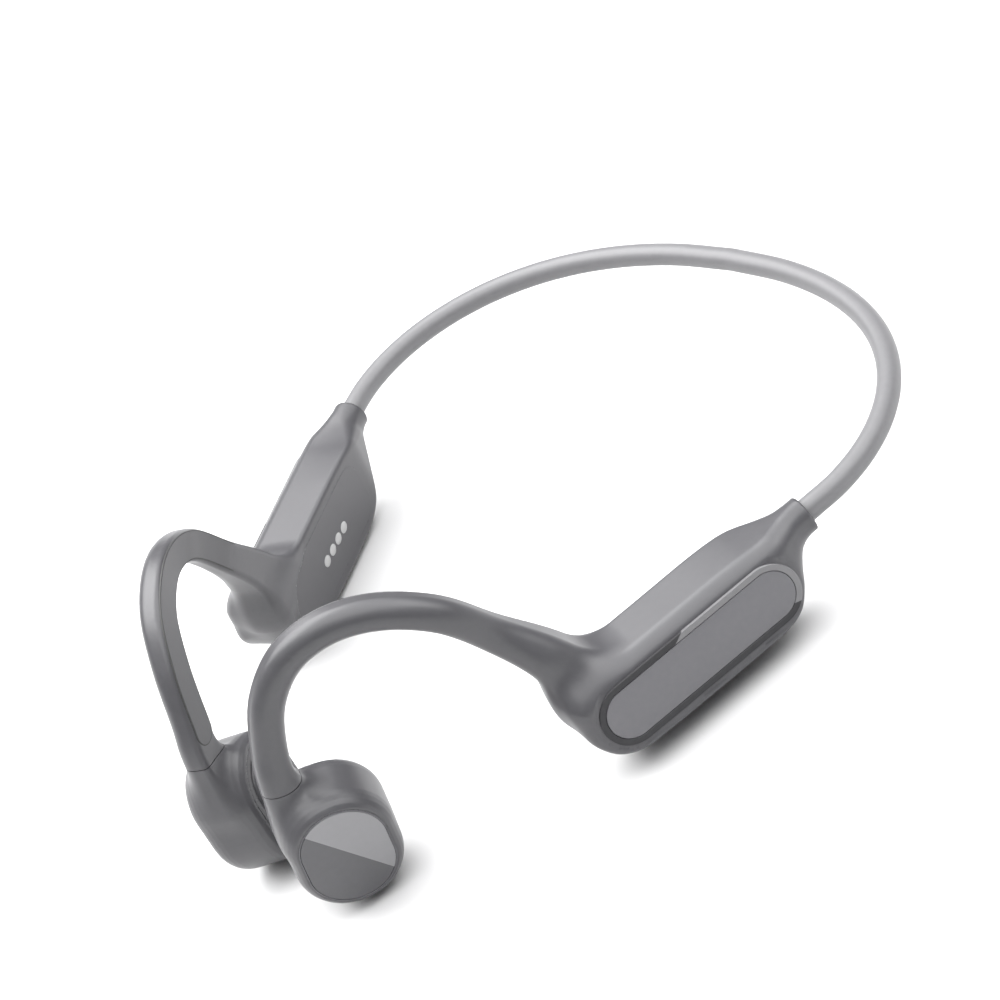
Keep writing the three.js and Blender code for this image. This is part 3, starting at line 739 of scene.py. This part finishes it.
def turned(place, profile, centre=(0, 0), straight=(0, 0), sides=96, closed=False):
    """Sweeps a profile of (radius, x) round a circle, a stadium or a racetrack in the place's y and z."""
    rows = []
    for radius, x in profile:
        for i in range(sides):
            angle = 2 * math.pi * (i + 0.5) / sides
            c, s = math.cos(angle), math.sin(angle)
            y = centre[0] + radius * c + math.copysign(straight[0], c)
            z = centre[1] + radius * s + math.copysign(straight[1], s)
            rows.append((x, y, z))
    points = place.world(rows)
    faces = []
    count = len(profile)
    for r in range(count if closed else count - 1):
        for i in range(sides):
            j = (i + 1) % sides
            a, b = r * sides, ((r + 1) % count) * sides
            faces.append((a + i, a + j, b + j, b + i))
    if not closed:
        faces.append(tuple(range(sides))[::-1])
        faces.append(tuple(range((count - 1) * sides, count * sides)))
    if not faces_out(points - points.mean(0), [f for f in faces if len(f) == 4]):
        faces = [tuple(reversed(f)) for f in faces]
    return points, faces


def bevelled(radius, back, front, bevel, steps=4):
    """A plate's profile from its back to its front, with a rounded front edge."""
    arc = [math.pi / 2 * i / steps for i in range(steps + 1)]
    edge = [(radius - bevel + bevel * math.cos(a), front - bevel + bevel * math.sin(a)) for a in arc]
    return [(radius, back), *edge]


def put(side, name, shape, slot, replaces=(), body=None, **more):
    points, faces, normals = on_side(side, *shape)
    return make(name, points, faces, body or f"{side}_side", slot, replaces, normals, **more)


def split_painted_reflection(points, faces):
    """Splits the cap along its slanted line, and gives each face its finish: 0 above the line, for the painted
    bright reflection, and 1 below, for the painted dark reflection.
    """
    normal = unit(head.world([[0, CAP_SLOPE, 1.0]])[0] - head.zero)
    through = head.world([[0, 0, CAP_SPLIT]])[0]
    mesh = bpy.data.meshes.new("reflection_sides")
    mesh.from_pydata([tuple(p) for p in points], [], [tuple(f) for f in faces])
    bm = bmesh.new()
    bm.from_mesh(mesh)
    geom = bm.verts[:] + bm.edges[:] + bm.faces[:]
    bmesh.ops.bisect_plane(bm, geom=geom, plane_co=Vector(through), plane_no=Vector(normal))
    bm.verts.index_update()
    new_points = np.array([v.co for v in bm.verts])
    new_faces = [tuple(v.index for v in f.verts) for f in bm.faces]
    below = [int((np.array(f.calc_center_median()) - through) @ normal < 0) for f in bm.faces]
    bm.free()
    bpy.data.meshes.remove(mesh)
    return new_points, new_faces, below


def ring_profile(inner, outer, back, front, bevel=0.12):
    return [
        (inner, back),
        (inner, front - bevel),
        (inner + bevel, front),
        (outer - bevel, front),
        (outer, front - bevel),
        (outer, back),
    ]


def ring_part(profile, begin, end, half_straight, centre, sides=120):
    """Part of a ring round a racetrack. Begin and end each give the share of a turn where the inner
    edge and the outer edge start or stop."""
    inner, outer = min(r for r, _ in profile), max(r for r, _ in profile)
    rows = []
    for radius, x in profile:
        t = (radius - inner) / (outer - inner)
        a0 = begin[0] + (begin[1] - begin[0]) * t
        a1 = end[0] + (end[1] - end[0]) * t
        for i in range(sides + 1):
            rows.append((x, *track_point(radius, a0 + (a1 - a0) * i / sides, half_straight, centre)))
    points = pod.world(rows)
    count, n = len(profile), sides + 1
    faces = []
    for r in range(count):
        for i in range(sides):
            a, b = r * n, ((r + 1) % count) * n
            faces.append((a + i, a + i + 1, b + i + 1, b + i))
    faces.append(tuple(r * n for r in range(count)))
    faces.append(tuple(r * n + sides for r in range(count))[::-1])
    if not faces_out(points - points.mean(0), [f for f in faces if len(f) == 4]):
        faces = [tuple(reversed(f)) for f in faces]
    return points, faces


def track_point(radius, share, straight, centre):
    """A point on a racetrack of that radius. The share runs from the middle of the top edge, first to
    the front, by the length of the middle line, so that the same share is the same place on each edge."""
    mid = PANEL["radius"] - PANEL["trim"] / 2
    arc = math.pi * mid
    total = 4 * straight + 2 * arc
    s = (share % 1) * total
    if s < straight:
        return centre[0] - s, centre[1] + radius
    s -= straight
    if s < arc:
        a = math.pi / 2 + s / mid
        return centre[0] - straight + radius * math.cos(a), centre[1] + radius * math.sin(a)
    s -= arc
    if s < 2 * straight:
        return centre[0] - straight + s, centre[1] - radius
    s -= 2 * straight
    if s < arc:
        a = -math.pi / 2 + s / mid
        return centre[0] + straight + radius * math.cos(a), centre[1] + radius * math.sin(a)
    s -= arc
    return centre[0] + straight - s, centre[1] + radius


def turn_length():
    """The length of the trim's middle line, and the parts of it: half a straight side, and the radius."""
    straight = PANEL["half"] - PANEL["radius"]
    mid = PANEL["radius"] - PANEL["trim"] / 2
    return 4 * straight + 2 * math.pi * mid, straight, mid


def top_share(y):
    """The share of the turn at a point of the top edge."""
    return -(y - PANEL["y"]) / turn_length()[0]


def rear_share(angle):
    """The share of the turn at an angle on the rear arc."""
    total, straight, mid = turn_length()
    return (straight + math.pi * mid + 2 * straight + (angle + math.pi / 2) * mid) / total


panel_straight = PANEL["half"] - PANEL["radius"]
panel_centre = (PANEL["y"], PANEL["z"])
FACE = POD_HALF
# The trim keeps its dark finish from DARK_FROM round the front to DARK_TO. Over the rear arc it is lighter, which
# is a painted reflection.
DARK_FROM = (top_share(-2.6), top_share(-0.6))
DARK_TO = (rear_share(-0.95), rear_share(-0.8))

for side in ("left", "right"):
    body = f"{side}_side"
    r = PANEL["radius"] - PANEL["trim"]
    plate = turned(pod, bevelled(r - 0.05, FACE - 1.2, FACE + 0.02, 0.12), panel_centre, (panel_straight, 0))
    put(side, f"{side}_panel_plate", plate, "panel", [f"{side}_control_panel"])
    profile = ring_profile(r, PANEL["radius"] + 0.05, FACE - 1.2, FACE + 0.05, 0.1)
    dark = ring_part(profile, DARK_FROM, DARK_TO, panel_straight, panel_centre)
    # The lighter rear arc of the trim is a painted reflection.
    light = ring_part(profile, DARK_TO, (1 + DARK_FROM[0], 1 + DARK_FROM[1]), panel_straight, panel_centre)
    put(side, f"{side}_trim_front", dark, "trim", [f"{side}_panel_trim"])
    put(side, f"{side}_trim_painted_reflection", light, "trim", materials=[painted_trim_reflection])

    cap_profile = bevelled(CAP["radius"], -CAP["thick"], 0.05, 0.12, 4)
    cap_body = "left_cap" if side == "left" else body
    cap = turned(head, cap_profile, (0, 0), (0, CAP["straight"]))
    # Faces above the slanted line get the painted bright reflection, and faces below it get the painted dark
    # reflection.
    points, faces, reflection_sides = split_painted_reflection(*cap)
    more = {"materials": [cap_painted_reflection, cap_painted_dark_reflection], "indices": reflection_sides}
    put(side, f"{side}_cap_plate", (points, faces), "panel", [f"{side}_head_cap"], cap_body, **more)
    rim = ring_profile(CAP["radius"] + 0.06, CAP["radius"] + 0.24, -1.3, 0.04, 0.04)
    bezel = turned(head, rim, (0, 0), (0, CAP["straight"]), closed=True)
    put(side, f"{side}_cap_bezel", bezel, "panel")

    back = HEAD["depth"]
    mirror = Place(head.zero, head.axes * np.array([[-1], [1], [1]]))
    pad_profile = bevelled(PAD["radius"], back - 0.9, back + PAD["proud"], 0.5, 6)
    pad = turned(mirror, pad_profile, (0, 0), (0, PAD["straight"]))
    put(side, f"{side}_pad", pad, "pad", [f"{side}_skin_pad"], f"{side}_vibrator")
    roll = [(5.93, back - 0.9), (5.93, back + 0.02), (6.2, back + 0.06), (6.5, back + 0.1)]
    roll += [(6.8, back + 0.08), (7.08, back + 0.03), (7.08, back - 0.9)]
    lip = turned(mirror, roll, (0, 0), (0, HEAD["straight"]), closed=True)
    put(side, f"{side}_pad_lip", lip, "surround", [f"{side}_pad_surround"])

# ---------------------------------------------------------------- pod covers, contacts and keys


def cover_shape():
    """The pod's inner cover, a flat plate with rounded corners."""
    corner = COVER["corner"]
    y0, y1, z0, z1 = COVER["y0"], COVER["y1"], COVER["z0"], COVER["z1"]
    profile = [(corner, COVER["thick"] - POD_HALF), (corner, -POD_HALF + 0.03)]
    profile += [(corner - 0.05, -POD_HALF - 0.02)]
    centre = ((y0 + y1) / 2, (z0 + z1) / 2)
    return turned(pod, profile, centre, ((y1 - y0) / 2 - corner, (z1 - z0) / 2 - corner))


for side in ("left", "right"):
    put(side, f"{side}_inner_cover", cover_shape(), "housing", [f"{side}_pod_cover"])

inward = Place(pod.zero, pod.axes * np.array([[-1], [1], [1]]))
first = -CONTACT["pitch"] * (CONTACT["count"] - 1) / 2
for i in range(CONTACT["count"]):
    radius, rest = CONTACT["radius"], POD_HALF - 0.02
    dome = [(radius, POD_HALF - 1.8), (radius, rest)]
    dome += [(radius * math.cos(a), rest + 0.22 * math.sin(a)) for a in (0.3, 0.6, 0.9, 1.2, 1.4)]
    pin = turned(inward, dome, (first + i * CONTACT["pitch"], 0), sides=40)
    put("right", f"contact_{i + 1}", pin, "contact_metal", [f"charging_contact_{i + 1}"])

under = Place(pod.zero, np.array([-pod.axes[2], pod.axes[1], pod.axes[0]]))
for y, name in zip(KEY["ys"], ("volume_up", "volume_down")):
    top = -KEY["bottom"]
    radius = KEY["width"] / 2
    key_profile = bevelled(radius, top - KEY["height"], top, 0.35, 5)
    key = turned(under, key_profile, (y, 0), (KEY["half"] - radius, 0), sides=48)
    put("right", f"{name}_button", key, "housing", [f"{name}_key"], name)

# ---------------------------------------------------------------- hook inlays


def strip(start, end, half, low, high, bevel):
    """A strip on the hook's flat inner side, with round ends."""
    rings = []
    i0, i1 = start * (HOOK_COUNT - 1), end * (HOOK_COUNT - 1)
    length = (i1 - i0) * hook_step
    count = 150
    for k in range(count + 1):
        s = length * (1 - math.cos(math.pi * k / count)) / 2
        from_end = min(s, length - s)
        w = half if from_end >= half else math.sqrt(max(half**2 - (half - from_end) ** 2, 0.0025))
        at = i0 + s / hook_step
        i = min(int(at), HOOK_COUNT - 2)
        t = at - i
        centre = hook_line[i] * (1 - t) + hook_line[i + 1] * t
        across = unit(hook_across[i] * (1 - t) + hook_across[i + 1] * t)
        inner = unit(hook_inner[i] * (1 - t) + hook_inner[i + 1] * t)
        share = at / (HOOK_COUNT - 1)
        depth = hook_widths(share)[2] - 0.9 * (1 - smoothstep(0.12, 0.25, share))
        b = min(bevel, w * 0.6)
        section = [(-w, low), (w, low), (w, high - b), (w - b, high), (-w + b, high), (-w, high - b)]
        rings.append([centre + across * a + inner * (depth + n) for a, n in section])
    points = np.array(rings).reshape(-1, 3)
    n = 6
    faces = []
    for k in range(count):
        for j in range(n):
            a, b = k * n + j, k * n + (j + 1) % n
            faces.append((a, b, b + n, a + n))
    faces += [tuple(range(n))[::-1], tuple(range(count * n, count * n + n))]
    if not faces_out(points - points.mean(0), [f for f in faces if len(f) == 4]):
        faces = [tuple(reversed(f)) for f in faces]
    return points, faces


inlay = strip(INLAY["start"], INLAY["end"], INLAY["half"], -0.6, 0.05, 0.08)
# A wider dark band under each inlay shows round its edge as a painted shadow of the gap, together with the joint
# line.
seam = strip(INLAY["start"] - 0.002, INLAY["end"] + 0.002, INLAY["half"] + 0.13, -0.6, 0.02, 0.02)
for side in ("left", "right"):
    put(side, f"{side}_inlay_strip", inlay, "inlay", [f"{side}_hook_inlay"])
    put(side, f"{side}_inlay_gap_shadow", seam, "inlay", materials=[gap_painted_shadow])

# ---------------------------------------------------------------- neckband


def bezier(points, count):
    t = np.linspace(0, 1, count)[:, None]
    a, b, c, d = (np.asarray(p, float) for p in points)
    return a * (1 - t) ** 3 + 3 * b * t * (1 - t) ** 2 + 3 * c * t**2 * (1 - t) + d * t**3


# Bezier points of the left half of the neckband, from the middle of the back to the pod
BAND = [(0, 0, 0), (46.4, 0, 0), (61.4, -27.6, 0), (54.4, -46.1, 0)]
half_arc = bezier(BAND, 80)
inside_boot = pod.world([[0, 20.2, BOOT["z"]]])
half_arc = catmull([*half_arc[::8], half_arc[-1], inside_boot[0]], 10)
band_line = evenly(np.vstack([half_arc[:0:-1] * FLIP, half_arc]), 220)


def band_tube(radius, offset, sides, bore=0.0):
    tangent = np.gradient(band_line, axis=0)
    tangent /= np.linalg.norm(tangent, axis=1)[:, None]
    across = np.cross(tangent, (0, 0, 1))
    across /= np.linalg.norm(across, axis=1)[:, None]
    up = np.cross(across, tangent)
    rings = []
    circles = [radius, bore] if bore else [radius]
    for r in circles:
        for i in range(len(band_line)):
            centre = band_line[i] + across[i] * offset
            for k in range(sides):
                a = 2 * math.pi * k / sides
                rings.append(centre + r * (across[i] * math.cos(a) + up[i] * math.sin(a)))
    n = len(band_line)
    faces = []
    for layer in range(len(circles)):
        base = layer * n * sides
        for i in range(n - 1):
            for k in range(sides):
                a, b = base + i * sides + k, base + i * sides + (k + 1) % sides
                quad = (a, b, b + sides, a + sides)
                faces.append(quad if layer == 0 else quad[::-1])
    for end in (0, n - 1):
        o = end * sides
        if bore:
            p = n * sides + end * sides
            for k in range(sides):
                j = (k + 1) % sides
                quad = (o + k, p + k, p + j, o + j)
                faces.append(quad if end == 0 else quad[::-1])
        else:
            face = tuple(range(o, o + sides))
            faces.append(face[::-1] if end == 0 else face)
    points = np.array(rings)
    if not faces_out(points, faces[: (n - 1) * sides]):
        faces = [tuple(reversed(f)) for f in faces]
    return points, faces


for name, radius, offset, sides, bore, slot_name in (
    ("neckband_sleeve", BAND_RADIUS, 0.0, 36, 1.15, "sleeve"),
    ("neckband_core", 0.45, -0.55, 12, 0, "spring_wire"),
    ("neckband_cable", 0.38, 0.5, 12, 0, "cable"),
):
    points, faces = band_tube(radius, offset, sides, bore)
    obj = make(f"{name}_tube", points, faces, None, slot_name, [name], smooth=60)
    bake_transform(obj)

# ---------------------------------------------------------------- floor, light and camera

floor_mesh = bpy.data.meshes.new("floor")
floor_mesh.from_pydata([(-3, -3, 0), (3, -3, 0), (3, 3, 0), (-3, 3, 0)], [], [(0, 1, 2, 3)])
floor = bpy.data.objects.new("floor", floor_mesh)
floor.location.z = cad_low[2] - 0.0005
bpy.context.scene.collection.objects.link(floor)
floor_finish = bpy.data.materials.new("floor")
floor_finish.use_nodes = True
floor_finish.node_tree.nodes["Principled BSDF"].inputs["Base Color"].default_value = (0.66, 0.66, 0.66, 1)
floor_finish.node_tree.nodes["Principled BSDF"].inputs["Roughness"].default_value = 0.9
floor_mesh.materials.append(floor_finish)

world = bpy.data.worlds.new("studio")
bpy.context.scene.world = world
world.use_nodes = True
sky = world.node_tree.nodes["Background"]
sky_at = world.node_tree.nodes.new("ShaderNodeTexCoord")
sky_split = world.node_tree.nodes.new("ShaderNodeSeparateXYZ")
sky_ramp = world.node_tree.nodes.new("ShaderNodeValToRGB")
sky_ramp.color_ramp.elements[0].position = 0.35
sky_ramp.color_ramp.elements[0].color = (0.1, 0.1, 0.105, 1)
sky_ramp.color_ramp.elements[1].position = 0.95
sky_ramp.color_ramp.elements[1].color = (1.3, 1.3, 1.32, 1)
world.node_tree.links.new(sky_at.outputs["Generated"], sky_split.inputs["Vector"])
world.node_tree.links.new(sky_split.outputs["Z"], sky_ramp.inputs["Fac"])
world.node_tree.links.new(sky_ramp.outputs["Color"], sky.inputs["Color"])


def area_light(name, location, target, size, power):
    data = bpy.data.lights.new(name, "AREA")
    data.shape = "RECTANGLE"
    data.size, data.size_y = size
    data.energy = power
    lamp = bpy.data.objects.new(name, data)
    lamp.location = location
    lamp.rotation_euler = (Vector(target) - Vector(location)).to_track_quat("-Z", "Y").to_euler()
    bpy.context.scene.collection.objects.link(lamp)


centre = (cad_low + cad_high) / 2
area_light("key", (-0.6, -0.1, 0.75), centre, (1.0, 0.8), 13)
area_light("top", (0.0, 0.1, 1.0), centre, (1.8, 1.8), 24)
area_light("fill", (0.5, 0.6, 0.7), centre, (0.7, 0.7), 3)

camera_data = bpy.data.cameras.new("camera")
camera_data.lens = 130.25
camera_data.sensor_width = 36
camera = bpy.data.objects.new("camera", camera_data)
bpy.context.scene.collection.objects.link(camera)
right, up, forward = (0.657, 0.5818, -0.4796), (-0.154, 0.7260, 0.6699), (-0.738, 0.3665, -0.5668)
turn = Matrix((right, up, [-c for c in forward])).transposed()
camera.matrix_world = Matrix.Translation((0.4224, -0.2062, 0.3422)) @ turn.to_4x4()
bpy.context.scene.camera = camera
bpy.context.scene.view_settings.view_transform = "Standard"
